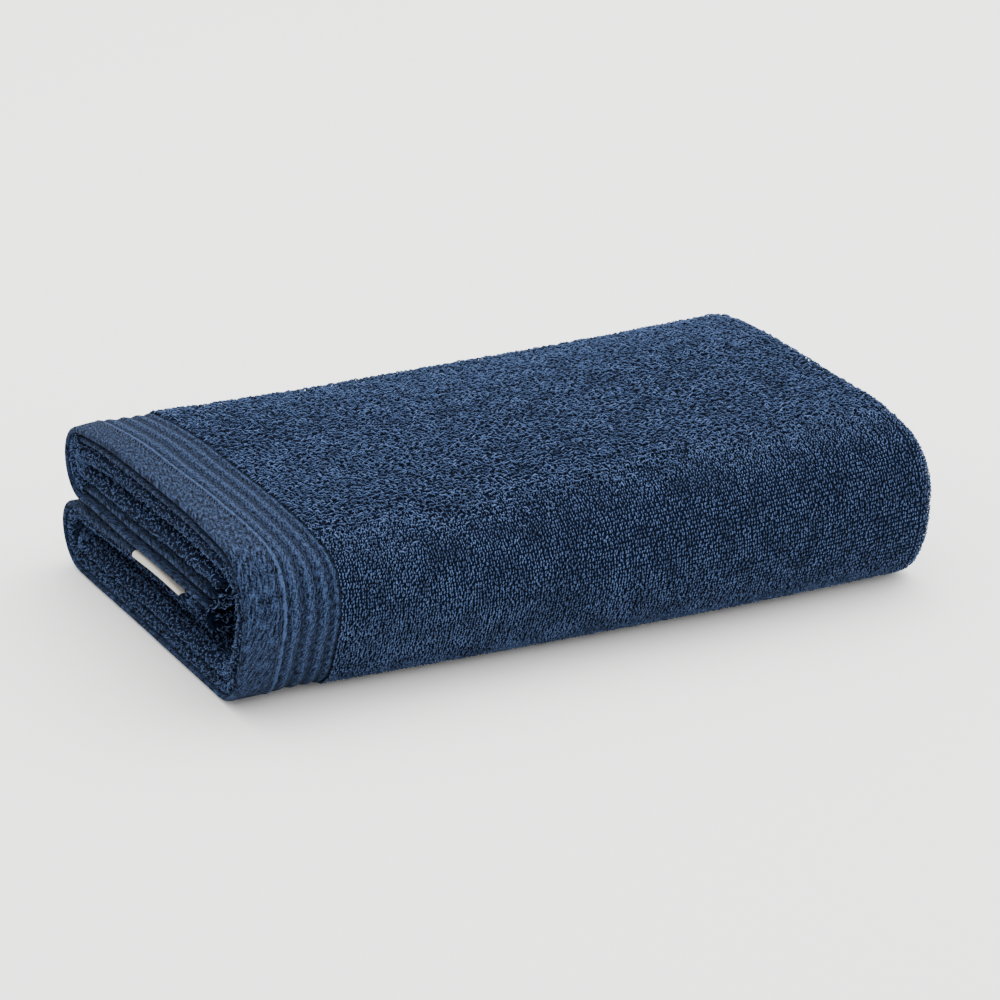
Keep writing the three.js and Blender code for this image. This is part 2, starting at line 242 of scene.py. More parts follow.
# At the ends of those rows: press is the share of the loose thickness that is left, hem and fold are
# how far the hem edges and the folded end are set back, second is how much further the second hem is,
# and skew is how much further in the seam and the ribs run there.
FACE_ENDS = [
    {"at": "start", "press": 0.955, "hem": 1.3, "second": 2.0, "fold": 0.0, "skew": 0.0},
    {"at": "underside back", "press": 1.01, "hem": 2.4, "second": 2.0, "fold": 1.0, "skew": 1.0},
    {"at": "underside front", "press": 0.93, "hem": 3.0, "second": 2.0, "fold": 1.5, "skew": 2.5},
    {"at": "lower bend", "press": 0.9, "hem": 2.0, "second": 1.5, "fold": 2.5, "skew": 3.0},
    {"at": "front face", "press": 0.9, "hem": 1.5, "second": 1.0, "fold": 3.5, "skew": 3.0},
    {"at": "upper bend", "press": 0.92, "hem": 2.0, "second": 0.0, "fold": 4.0, "skew": 5.3},
    {"at": "shoulder", "press": 0.97, "hem": 3.0, "second": 0.0, "fold": 2.0, "skew": 1.0},
    {"at": "top front", "press": 1.03, "hem": 3.0, "second": 0.5, "fold": 0.0, "skew": -1.8},
    {"at": "top back", "press": 0.97, "hem": 1.8, "second": 2.0, "fold": 0.0, "skew": -3.0},
]

# The two turned-in sides. Each ply is set back at the hem end, and the hems sag there: the first
# number of a pair is where the flap leaves its back fold, the second at its tip.
FLAPS = {
    "upper": {
        "length": 168.0, "first hem": (1.2, 0.5), "second hem": (4.0, 3.0), "inner fold": (2.5, 2.5),
        "hem drop": (1.5, 3.3), "inner drop": (2.0, 2.0)},
    "lower": {
        "length": 136.0, "first hem": (0.0, 0.5), "second hem": (3.0, 9.0), "inner fold": (10.0, 10.0),
        "hem drop": (0.8, -0.8), "inner drop": (0.0, 0.0)},
}
FLAP_DROP_FADE = 30.0
WAVE = {"height": 0.5, "along length": 31.0, "along face": 44.0, "fade": 40.0}

HEM_END = -FOLDED_LENGTH / 2
FOLD_END = FOLDED_LENGTH / 2
STACK = (PLY_COUNT - 1) * PLY_PITCH + TERRY_THICKNESS
LOBE_DEPTH = 2 * STACK + PLY_PITCH - TERRY_THICKNESS
RIB_EDGES = HEM_WIDTH + np.concatenate([[0], np.cumsum(RIB_WIDTHS)])
BORDER_WIDTH = RIB_EDGES[-1]
TURN_RADIUS = (PLY_COUNT - 1) * PLY_PITCH / 2
TURN_X = FOLD_END - TURN_RADIUS - TERRY_THICKNESS / 2
INNER_FOLD_X = HEM_END + PILE_FOLD_SETBACK + PLY_PITCH / 2 + TERRY_THICKNESS / 2
TERRY_START = HEM_END + BORDER_WIDTH + TERRY_STEP
SECOND_PLY_TOP = PLY_PITCH - (PLY_PITCH - TERRY_THICKNESS) / 2
THIRD_PLY_TOP = SECOND_PLY_TOP + PLY_PITCH
LEAST_TURN = 1e-6
JUST_INSIDE = 1e-6


def ease(t):
    """Rises smoothly from 0 to 1."""
    s = np.clip(t, 0, 1)
    return s * s * (3 - 2 * s)


def along(values, distance):
    """A value given at the four places, at distances from the hem end, on a smooth curve."""
    values = np.array(values, float)
    i = np.clip(np.searchsorted(PLACES, distance) - 1, 0, len(PLACES) - 2)
    span = PLACES[i + 1] - PLACES[i]
    t = (distance - PLACES[i]) / span

    def rise_at(k):
        low, high = np.maximum(0, k - 1), np.minimum(len(PLACES) - 1, k + 1)
        return (values[high] - values[low]) / (PLACES[high] - PLACES[low]) * span

    start = values[i] + rise_at(i) * t
    end = values[i + 1] - rise_at(i + 1) * (1 - t)
    return start + (end - start) * ease(t)


def along_arc(arc, distance):
    """Points of an arc at distances from its start, and the heading there."""
    bend = arc["turn"] / arc["length"]
    heading = arc["heading"] + bend * distance
    y = arc["y"] - (np.sin(heading) - np.sin(arc["heading"])) / bend
    z = arc["z"] + (np.cos(arc["heading"]) - np.cos(heading)) / bend
    return y, z, heading


def section_at(x):
    """The rows' arcs at places along X, and the whole length of the face there."""
    distance = x - HEM_END
    y = along(BACK_EDGE, distance)
    z, heading, at = np.zeros_like(y), np.zeros_like(y), np.zeros_like(y)
    arcs = []
    for row in FACE_ROWS.values():
        length = along(row["lengths"], distance)
        bend = np.radians(along(row["turns"], distance))
        bend = np.where(np.abs(bend) < LEAST_TURN, LEAST_TURN, bend)
        arcs.append({"y": y, "z": z, "heading": heading, "at": at, "length": length, "turn": bend})
        y, z, heading = along_arc(arcs[-1], length)
        at = at + length
    return arcs, at


def face_at(arcs, distance):
    """Points of the outer face with the heading and what changes along the face."""
    index = sum((arc["at"] <= distance).astype(int) for arc in arcs[1:])
    found = {key: np.zeros_like(distance) for key in ("y", "z", "heading", *FACE_ENDS[0]) if key != "at"}
    for i, arc in enumerate(arcs):
        here = index == i
        if not here.any():
            continue
        part = {key: value[here] for key, value in arc.items()}
        into = distance[here] - part["at"]
        found["y"][here], found["z"][here], found["heading"][here] = along_arc(part, into)
        share = ease(into / part["length"])
        for key in ("press", "hem", "second", "fold", "skew"):
            before, after = FACE_ENDS[i][key], FACE_ENDS[i + 1][key]
            found[key][here] = before + (after - before) * share
    return found


def flap_value(side, name, share):
    """One of a flap's pairs of numbers, at a share of the way to its tip."""
    start, tip = FLAPS[side][name]
    return start + (tip - start) * ease(share)


def flap_setback(side, depth, share):
    """How far each ply is set back at the hem end on a flap."""
    inner = np.where(depth < THIRD_PLY_TOP, flap_value(side, "second hem", share),
                     flap_value(side, "inner fold", share))
    return np.where(depth < SECOND_PLY_TOP, flap_value(side, "first hem", share), inner)


def flap_drop(side, x, depth, share):
    """How far a flap sags near the hem end, where the border is thinner than the terry."""
    hems, inner = flap_value(side, "hem drop", share), flap_value(side, "inner drop", share)
    near_hem = 1 - ease((x - HEM_END - HEM_WIDTH) / (BORDER_WIDTH - HEM_WIDTH))
    sag = np.where(depth < THIRD_PLY_TOP, hems, inner)
    return sag * near_hem * ease(share * FLAPS[side]["length"] / FLAP_DROP_FADE)


def skew_share(x):
    """The share of the skew at a place: none at the rim, all of it from the seam to the last rib."""
    from_hem = x - HEM_END
    return ease(from_hem / HEM_WIDTH) * (1 - ease((from_hem - BORDER_WIDTH) / SKEW_FADE))


def face_setback(face, depth):
    """How far each ply is set back at the hem end on the outer face."""
    is_second = (depth > SECOND_PLY_TOP) & (depth < THIRD_PLY_TOP)
    return face["hem"] + is_second * face["second"]


def wave_at(x, distance, depth, arcs, total):
    """Outward rise of the shallow waves in the outer plies, none on the underside."""
    lower_bend = arcs[ROW_NAMES.index("lower bend")]
    from_ends = np.minimum(distance - lower_bend["at"], total - distance)
    phase = x / WAVE["along length"] + distance / WAVE["along face"]
    return WAVE["height"] * np.sin(phase) * ease(from_ends / WAVE["fade"]) * (1 - depth / STACK)


def place(x, depth, station):
    """Points of the folded cloth in mm. X runs from the hem end to the folded end, depth from the
    outermost ply inward, and the station is a place across: on a row of the face, a back fold or a flap."""
    x, depth = np.broadcast_arrays(np.asarray(x, float), np.asarray(depth, float))
    arcs, total = section_at(x)
    side = station.get("side")
    lower = side == "lower"
    flap_share = station["share"] if station["zone"] == "flap" else 0
    flap_hem = flap_setback(side, depth, flap_share) if side else 0
    shift = 0.0
    if station["zone"] == "face":
        row = arcs[station["row"]]
        distance = row["at"] + station["share"] * row["length"]
        face = face_at(arcs, distance)
        inward = depth * face["press"] - wave_at(x, distance, depth, arcs, total)
        hem = face_setback(face, depth)
    elif station["zone"] == "lobe":
        face = face_at(arcs, np.zeros_like(x) if lower else total - JUST_INSIDE)
        angle = math.pi * station["share"]
        radius = (LOBE_DEPTH / 2 - depth) * face["press"]
        inward = LOBE_DEPTH / 2 * face["press"] - radius * math.cos(angle)
        shift = (-1 if lower else 1) * radius * math.sin(angle)
        face_hem = face_setback(face, depth)
        hem = face_hem + (flap_hem - face_hem) * ease(station["share"])
    else:
        reach = station["share"] * (FLAPS[side]["length"] + FLAP_TIP_SLANT * depth)
        face = face_at(arcs, reach if lower else total - JUST_INSIDE - reach)
        drop = flap_drop(side, x, depth, station["share"])
        inward = (LOBE_DEPTH - depth) * face["press"] + (-drop if lower else drop)
        hem = flap_hem
    near_hems = 1 - ease((x - HEM_END) / FOLD_END)
    near_fold = ease(x / FOLD_END)
    sine, cosine = np.sin(face["heading"]), np.cos(face["heading"])
    return np.stack([
        x + hem * near_hems + face["skew"] * skew_share(x) - face["fold"] * near_fold,
        face["y"] + sine * inward - cosine * shift,
        face["z"] + cosine * inward + sine * shift,
    ], axis=-1)


def rib_swell(from_hem):
    """How far up a rib a place is: 0 in the grooves, 1 on the ridges."""
    rib = np.clip(np.searchsorted(RIB_EDGES, from_hem, "right") - 1, 0, len(RIB_WIDTHS) - 1)
    return (1 - np.cos(2 * math.pi * (from_hem - RIB_EDGES[rib]) / RIB_WIDTHS[rib])) / 2


def bell(distance, width):
    """1 at no distance, falling smoothly to 0."""
    return np.exp(-(distance / width) ** 2)


def half_thickness(from_hem):
    """Half the thickness of the woven end: rolled rim, dented stitch row, raised seam, ribs."""
    rim = np.clip(1 - from_hem / (HEM_THICKNESS / 2), 0, 1)
    hem = HEM_THICKNESS / 2 * np.sqrt(1 - RIM_ROLL * rim ** 2)
    hem = hem - STITCH_DENT * bell(from_hem - STITCH_ROW, STITCH_WIDTH)
    hem = hem + SEAM_RIDGE["height"] * bell(from_hem - SEAM_RIDGE["place"], SEAM_RIDGE["width"])
    ribs = (GROOVE_THICKNESS + (RIB_THICKNESS - GROOVE_THICKNESS) * rib_swell(from_hem)) / 2
    ribs = np.where(from_hem < BORDER_WIDTH, ribs, GROOVE_THICKNESS / 2)
    ground = TERRY_THICKNESS / 2 - PILE_SHARE
    woven = np.where(from_hem < HEM_WIDTH, hem, ribs)
    return woven + (ground - woven) * ease((from_hem - BORDER_WIDTH) / TERRY_STEP)


def wear_and_painted_light_at(from_hem):
    """How much lighter the woven end is drawn, partly wear and partly painted light: painted shade in the
    grooves and the stitch dent, most painted highlight on the raised seam.
    """
    hem = WEAR_AND_PAINTED_LIGHT["hem"] + WEAR_AND_PAINTED_LIGHT["seam ridge"] * bell(from_hem - SEAM_RIDGE["place"], SEAM_RIDGE["width"])
    hem = hem + WEAR_AND_PAINTED_LIGHT["stitch dent"] * bell(from_hem - STITCH_ROW, STITCH_WIDTH)
    return np.where(from_hem < HEM_WIDTH, hem, WEAR_AND_PAINTED_LIGHT["groove"] + WEAR_AND_PAINTED_LIGHT["rib"] * rib_swell(from_hem))


def sink_at(from_hem):
    """How far the thin ribbed border sinks below the hem and the terry on either side."""
    after_hem = ease((from_hem - HEM_WIDTH + RIB_SINK_START) / RIB_WIDTHS[0])
    return RIB_SINK * after_hem * (1 - ease((from_hem - BORDER_WIDTH) / TERRY_STEP))


def hem_stations(coarseness):
    """Distances from the hem edge at which the cloth has a row of points: close at the rolled rim,
    the stitches and the last rib's edge, and wider on the ribs and the plain hem."""
    rim = np.array([0.0, 0.08, 0.25, 0.55, 0.9, 1.3])
    plain = np.arange(3.5, 14, 3.0)
    stitched = np.arange(14.2, HEM_WIDTH + 0.9, 0.4 * coarseness)
    ribs = np.arange(HEM_WIDTH + 1.2, BORDER_WIDTH - 0.3, 0.9 * coarseness)
    edge = BORDER_WIDTH + np.array([0.0, 0.6, 1.2, 1.8, 2.5])
    return np.concatenate([rim, plain, stitched, ribs, edge])


def lengthwise_line():
    """The four plies as one line: x, depth, and the distances out to its two faces."""
    ground = TERRY_THICKNESS / 2 - PILE_SHARE
    inside = TERRY_THICKNESS / 2 - HIDDEN_GAP
    depths = [TERRY_THICKNESS / 2 + ply * PLY_PITCH for ply in range(PLY_COUNT)]
    terry = np.arange(
        TERRY_START + PLAIN_GAPS["border"], TURN_X - PLAIN_GAPS["turn"], PLAIN_STEPS["outer ply"])
    inner_terry = terry[::2]
    border = np.arange(INNER_FOLD_X + PLAIN_GAPS["inner fold"], TERRY_START, PLAIN_STEPS["inner border"])
    inner_plies = np.concatenate([border, inner_terry])

    def stretch(x, depth, out=ground, back=inside):
        return np.stack(np.broadcast_arrays(x, depth, out, back))

    def turn_over(x, first, last, side, steps, out=ground):
        middle, reach = (depths[first] + depths[last]) / 2, (depths[last] - depths[first]) / 2
        angle = np.linspace(0, math.pi, steps + 1)
        return stretch(x + side * abs(reach) * np.sin(angle), middle - reach * np.cos(angle), out)

    def woven_end(depth, coarseness):
        ends = hem_stations(coarseness)
        halves = half_thickness(ends)
        sunk = depth + (sink_at(ends) if depth == depths[0] else 0)
        return stretch(HEM_END + ends, sunk, halves, halves)

    return np.concatenate([
        woven_end(depths[0], coarseness=1.0),
        stretch(terry, depths[0]),
        turn_over(TURN_X, first=0, last=3, side=1, steps=16),
        stretch(inner_plies[::-1], depths[3]),
        turn_over(INNER_FOLD_X, first=3, last=2, side=-1, steps=10),
        stretch(inner_plies, depths[2]),
        turn_over(TURN_X, first=2, last=1, side=1, steps=6, out=inside),
        stretch(inner_terry[::-1], depths[1]),
        woven_end(depths[1], coarseness=2.0)[:, ::-1],
    ], axis=1)


def line_normals(x, depth):
    """Unit directions from the line out to its first face, as x and depth."""
    step_x, step_depth = np.gradient(x), np.gradient(depth)
    length = np.hypot(step_x, step_depth)
    return step_depth / length, -step_x / length


def stations_at(shares, **zone):
    """Stations at shares of the way over a zone of the cloth."""
    return [{**zone, "share": share} for share in shares]


def crosswise_stations(flap_steps=10, lobe_steps=14):
    """The stations across the cloth from the lower flap's tip to the upper flap's tip."""
    flap = np.linspace(0, 1, flap_steps + 1)
    lobe = np.linspace(0, 1, lobe_steps + 1)
    stations = stations_at(flap[:0:-1], zone="flap", side="lower")
    stations += stations_at(lobe[:0:-1], zone="lobe", side="lower")
    for index, row in enumerate(FACE_ROWS.values()):
        steps = max(2, round(max(row["lengths"]) / row["step"]))
        stations += stations_at(np.arange(steps) / steps, zone="face", row=index)
    stations += stations_at(lobe[:-1], zone="lobe", side="upper")
    return stations + stations_at(flap, zone="flap", side="upper")


# Brings the middle of the folded cloth's box over the origin, in mm
SHIFT = np.array([0.43, 1.70, 0.0])


def to_metres(points):
    """Points of the folded cloth in mm, centred and in metres."""
    return (points + SHIFT) / 1000


def swept_faces(ring_size, row_count):
    """Faces of a closed ring of points swept along rows, with its two ends filled in. The second
    half of the ring runs back beside the first."""
    faces = []
    for row in range(row_count - 1):
        this, beyond = row * ring_size, (row + 1) * ring_size
        for i in range(ring_size):
            following = (i + 1) % ring_size
            faces.append((this + i, this + following, beyond + following, beyond + i))
    last_row = (row_count - 1) * ring_size
    for i in range(ring_size // 2 - 1):
        opposite = ring_size - 1 - i
        faces.append((i, opposite, opposite - 1, i + 1))
        faces.append((last_row + i, last_row + i + 1, last_row + opposite - 1, last_row + opposite))
    return faces


line_x, line_depth, line_out, line_back = lengthwise_line()
normal_x, normal_depth = line_normals(line_x, line_depth)
outer_x, inner_x = line_x + normal_x * line_out, line_x - normal_x * line_back
outer_depth, inner_depth = line_depth + normal_depth * line_out, line_depth - normal_depth * line_back
ring_x = np.concatenate([outer_x, inner_x[::-1]])
ring_depth = np.concatenate([outer_depth, inner_depth[::-1]])
stations = crosswise_stations()
rows = np.stack([place(ring_x, ring_depth, station) for station in stations])
faces = swept_faces(len(ring_x), len(stations))
cloth = mesh_object("terry_cloth", to_metres(rows.reshape(-1, 3)), faces)

# Distances over the cloth, in mm: along it from the first hem, and across it from the lower flap's tip,
# measured a little way into the terry
MEASURED_X = TERRY_START + 20
steps_along = np.hypot(np.diff(line_x), np.diff(line_depth))
line_along = np.concatenate([[0], np.cumsum(steps_along)])
ring_along = np.concatenate([line_along, line_along[::-1]])
measured = rows[:, np.argmin(np.abs(line_x - MEASURED_X)), :]
row_across = np.concatenate([[0], np.cumsum(np.linalg.norm(np.diff(measured, axis=0), axis=1))])
cloth_along = np.tile(ring_along, len(stations))
cloth_across = np.repeat(row_across, len(ring_x))
uv = cloth.data.uv_layers.new(name="cloth")
corner_points = np.empty(len(cloth.data.loops), int)
cloth.data.loops.foreach_get("vertex_index", corner_points)
uv_values = np.stack([cloth_along[corner_points], cloth_across[corner_points]], axis=1) / 1000
uv.data.foreach_set("uv", uv_values.ravel())
# Per point: wear mixed with painted highlight on the seam and rib ridges and painted shade in the grooves
# and stitch dent
wear_and_painted_light = cloth.data.attributes.new("wear_and_painted_light", "FLOAT", "POINT")
wear_and_painted_light.data.foreach_set("value", wear_and_painted_light_at(np.minimum(cloth_along, line_along[-1] - cloth_along)))

# Cotton ground between the loops: dull, dark and slightly uneven in its dye, in patches some 3 mm wide,
# with a lump where each loop is bound in, every 2 mm
GROUND_COLOURS = ("#080e1b", "#131d34")
GROUND_PATCH = 0.00286
BINDING_SPACING = 0.00208
terry_ground = new_material("cotton terry ground")
tree = terry_ground.node_tree
coordinates = add(tree, "ShaderNodeTexCoord")
lumps = add(tree, "ShaderNodeTexVoronoi", {
    "Vector": coordinates.outputs["Object"], "Scale": 1 / BINDING_SPACING})
finish_material(tree, {
    "Base Color": mix_colours(tree, pattern(tree, GROUND_PATCH, detail=4.0), GROUND_COLOURS),
    "Roughness": 0.95, "Specular IOR Level": 0.02, "Sheen Weight": 0.01,
    "Normal": relief(tree, lumps.outputs["Distance"], 0.8, 0.0008)})

# Flat-woven cotton of the hems and ribs: dull, with uneven slanting strokes of a worn twill that
# catch the light. They run steeply across the cloth, longer on the hem than on the ribs. The seam
# and the ridges of the ribs are drawn lighter, partly wear and partly painted highlight, and the grooves
# and the stitch dent are darker with painted shade. Its threads are really some 0.4 mm apart: threads
# and strokes are drawn twice as coarse, to show
WOVEN_COLOURS = ("#04070f", "#344361")
TWILL_SLANT = 72.0
HEM_STROKE = (0.0009, 0.0045)
RIB_STROKE = (0.0008, 0.003)
THREAD_SPACING = 0.0008
woven_materials = []
weaves = (
    ("twill-woven cotton hem", HEM_STROKE, 0.0005),
    ("cord-ribbed cotton weave", RIB_STROKE, 0.0007))
for name, stroke, weave_height in weaves:
    woven = new_material(name)
    tree = woven.node_tree
    cloth_uv = add(tree, "ShaderNodeUVMap", uv_map="cloth")
    slant = add(tree, "ShaderNodeMapping", {
        "Vector": cloth_uv, "Rotation": (0, 0, math.radians(TWILL_SLANT - 90)),
        "Scale": (*stroke, 1.0)}, vector_type="TEXTURE")
    strokes = add(tree, "ShaderNodeTexNoise", {
        "Vector": slant, "Scale": 1.0, "Detail": 2.0, "Roughness": 0.6})
    threads = add(tree, "ShaderNodeTexNoise", {
        "Vector": cloth_uv, "Scale": 1 / THREAD_SPACING, "Detail": 3.0, "Roughness": 0.7})
    both = add(tree, "ShaderNodeMath", {
        0: strokes.outputs["Fac"], 1: threads.outputs["Fac"]}, operation="ADD")
    shade = add(tree, "ShaderNodeMapRange", {
        "Value": both, "From Min": 0.88, "From Max": 1.24})
    wear_and_painted_light = add(tree, "ShaderNodeAttribute", attribute_name="wear_and_painted_light")
    # Painted light: seam and rib ridges lighter as painted highlight, grooves and stitch dent darker as
    # painted shade, mixed with wear
    painted_shade_and_wear = add(tree, "ShaderNodeMapRange", {
        "Value": wear_and_painted_light.outputs["Fac"], "To Min": 0.3, "To Max": 1.7})
    painted_ridge_highlight = add(tree, "ShaderNodeMapRange", {
        "Value": wear_and_painted_light.outputs["Fac"], "From Min": 0.6, "To Min": 0.0, "To Max": 0.5})
    lightness = add(tree, "ShaderNodeMath", {
        0: shade, 1: painted_shade_and_wear, 2: painted_ridge_highlight}, operation="MULTIPLY_ADD")
    finish_material(tree, {
        "Base Color": mix_colours(tree, lightness, WOVEN_COLOURS), "Roughness": 0.95,
        "Specular IOR Level": 0.03, "Sheen Weight": 0.01, "Normal": relief(tree, both, 0.9, weave_height)})
    woven_materials.append(woven)

for material in (terry_ground, *woven_materials):
    cloth.data.materials.append(material)
LAST_RIB_EDGE = BORDER_WIDTH + 0.6
GROUND, HEM, RIBS = 0, 1, 2
face_along = np.array([cloth_along[list(face)].mean() for face in faces])
from_end = np.minimum(face_along, line_along[-1] - face_along)
kind = np.where(from_end < HEM_WIDTH, HEM, np.where(from_end < LAST_RIB_EDGE, RIBS, GROUND))
cloth.data.polygons.foreach_set("material_index", kind.astype(int))
cloth.data.update()

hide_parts("terry_sheet")
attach(cloth, "root")


# Pile
# Rows of soft twisted cotton loops standing about 2 mm out of the ground on both faces of the cloth.
# They lie every way on the top and stand in rows on the front, with both kinds mixed in between,
# and are made where the cloth can be seen. Loops are drawn slightly coarser than the real ones.

# A loop is an arch that bulges a little beyond its feet. Its handles rise a third above its crown
LOOP_BULGE = 0.62
HANDLE_RISE = 1.33
LOOP_STEPS = 3
YARN_SIDES = 3


def loop_nodes():
    """A node tree that stands a small arched loop on each point, by the point's own directions."""
    tree = bpy.data.node_groups.new("loops on points", "GeometryNodeTree")
    sockets = tree.interface
    sockets.new_socket("Geometry", in_out="OUTPUT", socket_type="NodeSocketGeometry")
    sockets.new_socket("Geometry", in_out="INPUT", socket_type="NodeSocketGeometry")
    for name in ("Loop height", "Loop length", "Yarn width", "Turn", "Turn spread", "Lean spread",
                 "Size spread", "Paleness"):
        sockets.new_socket(name, in_out="INPUT", socket_type="NodeSocketFloat")
    sockets.new_socket("Seed", in_out="INPUT", socket_type="NodeSocketInt")
    sockets.new_socket("Material", in_out="INPUT", socket_type="NodeSocketMaterial")
    given = add(tree, "NodeGroupInput").outputs

    def maths(operation, a, b):
        return add(tree, "ShaderNodeMath", {0: a, 1: b}, operation=operation).outputs[0]

    half = maths("MULTIPLY", given["Loop length"], 0.5)
    bulge = maths("MULTIPLY", given["Loop length"], LOOP_BULGE)
    crown = maths("MULTIPLY", given["Loop height"], HANDLE_RISE)
    corners = []
    for sign, width, height in ((-1, half, None), (-1, bulge, crown), (1, bulge, crown), (1, half, None)):
        x = maths("MULTIPLY", width, sign)
        corner = {"X": x} if height is None else {"X": x, "Z": height}
        corners.append(add(tree, "ShaderNodeCombineXYZ", corner).outputs[0])
    arch = add(tree, "GeometryNodeCurvePrimitiveBezierSegment", {
        "Resolution": LOOP_STEPS, "Start": corners[0], "Start Handle": corners[1],
        "End Handle": corners[2], "End": corners[3]}, mode="POSITION")
    yarn = add(tree, "GeometryNodeCurvePrimitiveCircle", {
        "Resolution": YARN_SIDES, "Radius": maths("MULTIPLY", given["Yarn width"], 0.5)}, mode="RADIUS")
    tube = add(tree, "GeometryNodeCurveToMesh", {
        "Curve": arch, "Profile Curve": yarn})
    position = add(tree, "GeometryNodeInputPosition")
    place_in_loop = add(tree, "ShaderNodeSeparateXYZ", {0: position})
    # How far up its loop a point is, which the yarn uses for painted shade at the root
    rise = maths("DIVIDE", place_in_loop.outputs["Z"], given["Loop height"])
    marked = add(tree, "GeometryNodeStoreNamedAttribute", {
        "Geometry": tube, "Name": "rise", "Value": rise}, data_type="FLOAT", domain="POINT")
    smooth = add(tree, "GeometryNodeSetShadeSmooth", {"Geometry": marked})

    up = add(tree, "GeometryNodeInputNamedAttribute", {"Name": "up"}, data_type="FLOAT_VECTOR")
    side = add(tree, "GeometryNodeInputNamedAttribute", {"Name": "side"}, data_type="FLOAT_VECTOR")
    base = add(tree, "FunctionNodeAxesToRotation", {
        0: up, 1: side}, primary_axis="Z", secondary_axis="X")

    def random_between(spread, seed_step):
        seed = maths("ADD", given["Seed"], seed_step)
        low = maths("MULTIPLY", spread, -1.0)
        drawn = add(tree, "FunctionNodeRandomValue", {2: low, 3: spread, 8: seed}, data_type="FLOAT")
        return drawn.outputs[1]

    turned = maths("ADD", given["Turn"], random_between(given["Turn spread"], 1))
    angles = add(tree, "ShaderNodeCombineXYZ", {
        "X": random_between(given["Lean spread"], 2), "Y": random_between(given["Lean spread"], 3),
        "Z": turned})
    twist = add(tree, "FunctionNodeEulerToRotation", {0: angles})
    rotation = add(tree, "FunctionNodeRotateRotation", {
        0: base, 1: twist}, rotation_space="LOCAL")
    size = maths("ADD", random_between(given["Size spread"], 4), 1.0)
    loops = add(tree, "GeometryNodeInstanceOnPoints", {
        "Points": given["Geometry"], "Instance": smooth, "Rotation": rotation,
        "Scale": size})
    # Each loop's tint is a random dye plus its kind's painted lightness: painted light and shade
    tint_and_painted_light = add(tree, "FunctionNodeRandomValue", {
        2: given["Paleness"], 3: maths("ADD", given["Paleness"], 1.0), 8: maths("ADD", given["Seed"], 5)},
        data_type="FLOAT")
    tinted = add(tree, "GeometryNodeStoreNamedAttribute", {
        "Geometry": loops, "Name": "tint_and_painted_light", "Value": tint_and_painted_light.outputs[1]},
        data_type="FLOAT", domain="INSTANCE")
    whole = add(tree, "GeometryNodeRealizeInstances", {"Geometry": tinted})
    finished = add(tree, "GeometryNodeSetMaterial", {
        "Geometry": whole, "Material": given["Material"]})
    add(tree, "NodeGroupOutput", {"Geometry": finished})
    return tree


def stand_on_points(name, tree, points, up, side, values):
    """Puts the tree's loops on points in metres and returns the result as a plain mesh object."""
    roots = mesh_object(name + "_roots", points, [])
    for key, directions in (("up", up), ("side", side)):
        stored = roots.data.attributes.new(key, "FLOAT_VECTOR", "POINT")
        stored.data.foreach_set("vector", np.ascontiguousarray(directions, dtype=np.float32).ravel())
    modifier = roots.modifiers.new("loops", "NODES")
    modifier.node_group = tree
    for item in tree.interface.items_tree:
        if item.in_out == "INPUT" and item.name in values:
            modifier[item.identifier] = values[item.name]
    evaluated = roots.evaluated_get(bpy.context.evaluated_depsgraph_get())
    mesh = bpy.data.meshes.new_from_object(evaluated)
    bpy.data.objects.remove(roots)
    return new_object(name, mesh)


def unit(vectors):
    """Vectors scaled to a length of one."""
    return vectors / np.linalg.norm(vectors, axis=-1, keepdims=True)


# How far from a root, in mm, its directions are measured
DIRECTION_STEP = 0.5


def roots_on(line, stations, jitter=0.0):
    """Points on a lengthwise line of the cloth at each station, with their outward and side directions.
    The line is x, depth and its outward direction as x and depth. Jitter moves each point in mm."""
    x, depth, out_x, out_depth = line
    points, up, side = [], [], []
    for station in stations:
        base = place(x, depth, station)
        above = place(x + out_x * DIRECTION_STEP, depth + out_depth * DIRECTION_STEP, station)
        further = place(x - out_depth * DIRECTION_STEP, depth + out_x * DIRECTION_STEP, station)
        points.append(base)
        up.append(unit(above - base))
        side.append(unit(further - base))
    points, up, side = np.concatenate(points), np.concatenate(up), np.concatenate(side)
    moves = np.random.default_rng(len(points)).uniform(-jitter, jitter, (len(points), 2))
    points = points + side * moves[:, :1] + np.cross(up, side) * moves[:, 1:]
    return to_metres(points), up, side


def evenly(steps, **zone):
    """Stations at even steps over a zone of the cloth."""
    return stations_at((np.arange(steps) + 0.5) / steps, **zone)


def stations_of(row_name, pitch):
    """Stations along one row of the face, at about that pitch in mm."""
    steps = max(2, round(np.mean(FACE_ROWS[row_name]["lengths"]) / pitch))
    return evenly(steps, zone="face", row=ROW_NAMES.index(row_name))


def lobe_stations(side, pitch):
    """Stations round one back fold, at about that pitch in mm."""
    return evenly(round(math.pi * LOBE_DEPTH / 2 / pitch), zone="lobe", side=side)


def flap_stations(side, pitch):
    """Stations along one flap, at about that pitch in mm."""
    return evenly(round(FLAPS[side]["length"] / pitch), zone="flap", side=side)


# Where the pile starts over the border, in mm, and where it starts round the end's underside
BORDER_OVERLAP = 2.2
UNDERSIDE_START = 0.12 * math.pi


def fold_end_line(pitch, start=0.0):
    """The ground's outer face round the folded end, from an angle on, with its outward direction."""
    radius = TURN_RADIUS + TERRY_THICKNESS / 2 - PILE_SHARE
    angle = np.arange(start + 0.5 * pitch / radius, math.pi, pitch / radius)
    depth = PILE_SHARE + radius * (1 - np.cos(angle))
    return TURN_X + radius * np.sin(angle), depth, np.sin(angle), -np.cos(angle)


def outer_line(pitch):
    """The ground's outer face from the border to the folded end and round it."""
    straight = np.arange(TERRY_START - BORDER_OVERLAP, TURN_X, pitch)
    level = np.zeros_like(straight)
    parts = (straight, level + PILE_SHARE, level, level - 1)
    return [np.concatenate(pair) for pair in zip(parts, fold_end_line(pitch))]


